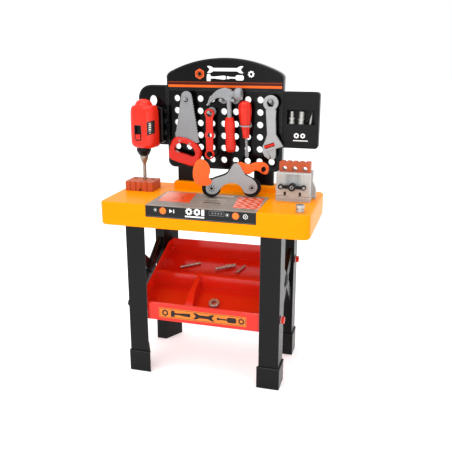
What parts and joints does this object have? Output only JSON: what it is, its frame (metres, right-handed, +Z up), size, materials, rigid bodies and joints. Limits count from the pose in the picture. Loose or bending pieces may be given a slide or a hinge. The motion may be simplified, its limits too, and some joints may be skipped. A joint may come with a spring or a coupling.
{
  "type": "toy workbench",
  "caption": "Toy workbench: moulded bench on X-braced legs with a tilted storage tray, pegboard with hanging tools, drill, vise, bit pouch and a build-it toy bike.",
  "frame": {"origin": "on the floor, below the middle of the bench", "axes": "+X to the bench right as the child sees it, +Y away from the child, +Z up"},
  "size_m": [0.52, 0.252, 0.79],
  "materials": {
    "yellow_plastic": "glossy injection-moulded yellow",
    "table_print": "printed grey label, satin",
    "black_print": "printed black label, satin",
    "black_plastic": "black moulded, fine texture",
    "tray_red": "glossy red moulding",
    "tool_red": "glossy tool red",
    "grey_plastic": "silver-grey moulded plastic",
    "brick_plastic": "brick-orange moulded plastic",
    "wheel_black": "black wheel, satin",
    "orange_plastic": "glossy orange moulding",
    "silver_plastic": "silver-sprayed plastic"
  },
  "bodies": {
    "bench": {"bench_top": "yellow_plastic", "saw_table_panel": "table_print", "control_fascia": "black_print", "side_frame_left": "black_plastic", "side_frame_right": "black_plastic", "foot_front_left": "black_plastic", "foot_front_right": "black_plastic", "foot_rear_left": "black_plastic", "foot_rear_right": "black_plastic", "storage_tray": "tray_red", "tray_bolt_front_left": "black_plastic", "tray_bolt_front_right": "tool_red", "tray_bolt_rear_left": "black_plastic", "tray_bolt_rear_right": "tool_red", "post_left": "black_plastic", "post_right": "black_plastic", "pegboard": "black_plastic", "header_panel": "black_plastic", "drill_wing": "black_plastic", "tool_pouch": "black_plastic", "peg_saw": "grey_plastic", "peg_spanner": "grey_plastic", "peg_hammer_left": "grey_plastic", "peg_hammer_right": "grey_plastic", "peg_wrench": "grey_plastic", "vise_body": "grey_plastic"},
    "saw": {"saw_blade": "grey_plastic", "saw_handle": "tool_red"},
    "spanner": {"hole_spanner": "tool_red"},
    "hammer": {"hammer_head": "grey_plastic", "hammer_handle": "tool_red"},
    "screwdriver": {"ring_screwdriver": "grey_plastic", "screwdriver_handle": "tool_red", "screwdriver_shank": "grey_plastic"},
    "wrench": {"wrench_body": "grey_plastic"},
    "wrench_jaw": {"wrench_jaw": "grey_plastic"},
    "wrench_worm": {"wrench_worm": "tool_red"},
    "drill": {"drill_housing": "tool_red", "drill_grip": "black_plastic"},
    "drill_spindle": {"drill_chuck": "black_plastic", "drill_bit": "grey_plastic"},
    "drill_switch": {"drill_switch": "tool_red"},
    "drill_block": {"drill_block": "brick_plastic"},
    "vise_jaw": {"vise_jaw": "grey_plastic"},
    "vise_screw": {"vise_screw": "black_plastic"},
    "vise_block": {"vise_block": "brick_plastic"},
    "bike": {"bike_frame_front": "grey_plastic", "bike_frame_rear": "black_plastic", "bike_fairing": "orange_plastic", "bike_seat": "orange_plastic"},
    "bike_wheel_left": {"bike_wheel_left": "wheel_black"},
    "bike_wheel_right": {"bike_wheel_right": "wheel_black"},
    "pouch_bolt_a": {"pouch_bolt_a": "silver_plastic"},
    "pouch_bolt_b": {"pouch_bolt_b": "silver_plastic"},
    "pouch_bit": {"pouch_bit": "silver_plastic"},
    "loose_bit": {"loose_bit": "silver_plastic"},
    "loose_bolt": {"loose_bolt": "silver_plastic"},
    "loose_pin": {"loose_pin": "silver_plastic"},
    "loose_ring_nut": {"loose_ring_nut": "silver_plastic"},
    "loose_nut": {"loose_nut": "silver_plastic"}
  },
  "joints": [
    {"name": "saw_pull_off", "type": "slide", "parent": "bench", "child": "saw", "axis": [0, -1, 0], "range_m": [0, 0.06]},
    {"name": "spanner_pull_off", "type": "slide", "parent": "bench", "child": "spanner", "axis": [0, -1, 0], "range_m": [0, 0.06]},
    {"name": "hammer_pull_off", "type": "slide", "parent": "bench", "child": "hammer", "axis": [0, -1, 0], "range_m": [0, 0.06]},
    {"name": "screwdriver_pull_off", "type": "slide", "parent": "bench", "child": "screwdriver", "axis": [0, -1, 0], "range_m": [0, 0.06]},
    {"name": "wrench_pull_off", "type": "slide", "parent": "bench", "child": "wrench", "axis": [0, -1, 0], "range_m": [0, 0.06]},
    {"name": "wrench_jaw_slide", "type": "slide", "parent": "wrench", "child": "wrench_jaw", "axis": [0.9426, 0, 0.3338], "range_m": [0, 0.008]},
    {"name": "wrench_worm_turn", "type": "hinge", "parent": "wrench", "child": "wrench_worm", "pos_m": [0.12586, 0.061, 0.57796], "axis": [0.9426, 0, 0.3338], "range_deg": [0, 720]},
    {"name": "drill_lift", "type": "slide", "parent": "bench", "child": "drill", "axis": [0, 0, 1], "range_m": [0, 0.06]},
    {"name": "drill_spindle_turn", "type": "hinge", "parent": "drill", "child": "drill_spindle", "pos_m": [-0.209, 0.046, 0.55], "axis": [0, 0, 1], "continuous": true},
    {"name": "drill_switch_slide", "type": "slide", "parent": "drill", "child": "drill_switch", "axis": [0, 0, 1], "range_m": [0, 0.018]},
    {"name": "drill_block_lift", "type": "slide", "parent": "bench", "child": "drill_block", "axis": [0, 0, 1], "range_m": [0, 0.025]},
    {"name": "vise_jaw_slide", "type": "slide", "parent": "bench", "child": "vise_jaw", "axis": [0, -1, 0], "range_m": [0, 0.012]},
    {"name": "vise_screw_turn", "type": "hinge", "parent": "vise_jaw", "child": "vise_screw", "pos_m": [0.1975, -0.01, 0.4907], "axis": [0, 1, 0], "range_deg": [0, 720]},
    {"name": "vise_block_lift", "type": "slide", "parent": "bench", "child": "vise_block", "axis": [0, 0, 1], "range_m": [0, 0.05]},
    {"name": "bike_roll", "type": "slide", "parent": "bench", "child": "bike", "axis": [-0.9511, -0.309, 0], "range_m": [0, 0.06]},
    {"name": "bike_left_wheel_turn", "type": "hinge", "parent": "bike", "child": "bike_wheel_left", "pos_m": [-0.00703, -0.0076, 0.477], "axis": [-0.309, 0.9511, 0], "range_deg": [-144, 0]},
    {"name": "bike_right_wheel_turn", "type": "hinge", "parent": "bike", "child": "bike_wheel_right", "pos_m": [0.08903, 0.02361, 0.477], "axis": [-0.309, 0.9511, 0], "range_deg": [-144, 0]},
    {"name": "pouch_bolt_a_lift", "type": "slide", "parent": "bench", "child": "pouch_bolt_a", "axis": [0, 0, 1], "range_m": [0, 0.04]},
    {"name": "pouch_bolt_b_lift", "type": "slide", "parent": "bench", "child": "pouch_bolt_b", "axis": [0, 0, 1], "range_m": [0, 0.04]},
    {"name": "pouch_bit_lift", "type": "slide", "parent": "bench", "child": "pouch_bit", "axis": [0, 0, 1], "range_m": [0, 0.04]},
    {"name": "loose_bit_lift", "type": "slide", "parent": "bench", "child": "loose_bit", "axis": [0, 0, 1], "range_m": [0, 0.05]},
    {"name": "loose_bolt_lift", "type": "slide", "parent": "bench", "child": "loose_bolt", "axis": [0, 0, 1], "range_m": [0, 0.05]},
    {"name": "loose_pin_lift", "type": "slide", "parent": "bench", "child": "loose_pin", "axis": [0, 0, 1], "range_m": [0, 0.05]},
    {"name": "loose_ring_nut_lift", "type": "slide", "parent": "bench", "child": "loose_ring_nut", "axis": [0, 0, 1], "range_m": [0, 0.05]},
    {"name": "loose_nut_lift", "type": "slide", "parent": "bench", "child": "loose_nut", "axis": [0, 0, 1], "range_m": [0, 0.05]}
  ],
  "couplings": [
    {"joint": "wrench_worm_turn", "follows": "wrench_jaw_slide", "rad_per_m": 1570},
    {"joint": "vise_screw_turn", "follows": "vise_jaw_slide", "rad_per_m": 1047},
    {"joint": "bike_left_wheel_turn", "follows": "bike_roll", "rad_per_m": -41.667},
    {"joint": "bike_right_wheel_turn", "follows": "bike_roll", "rad_per_m": -41.667}
  ]
}
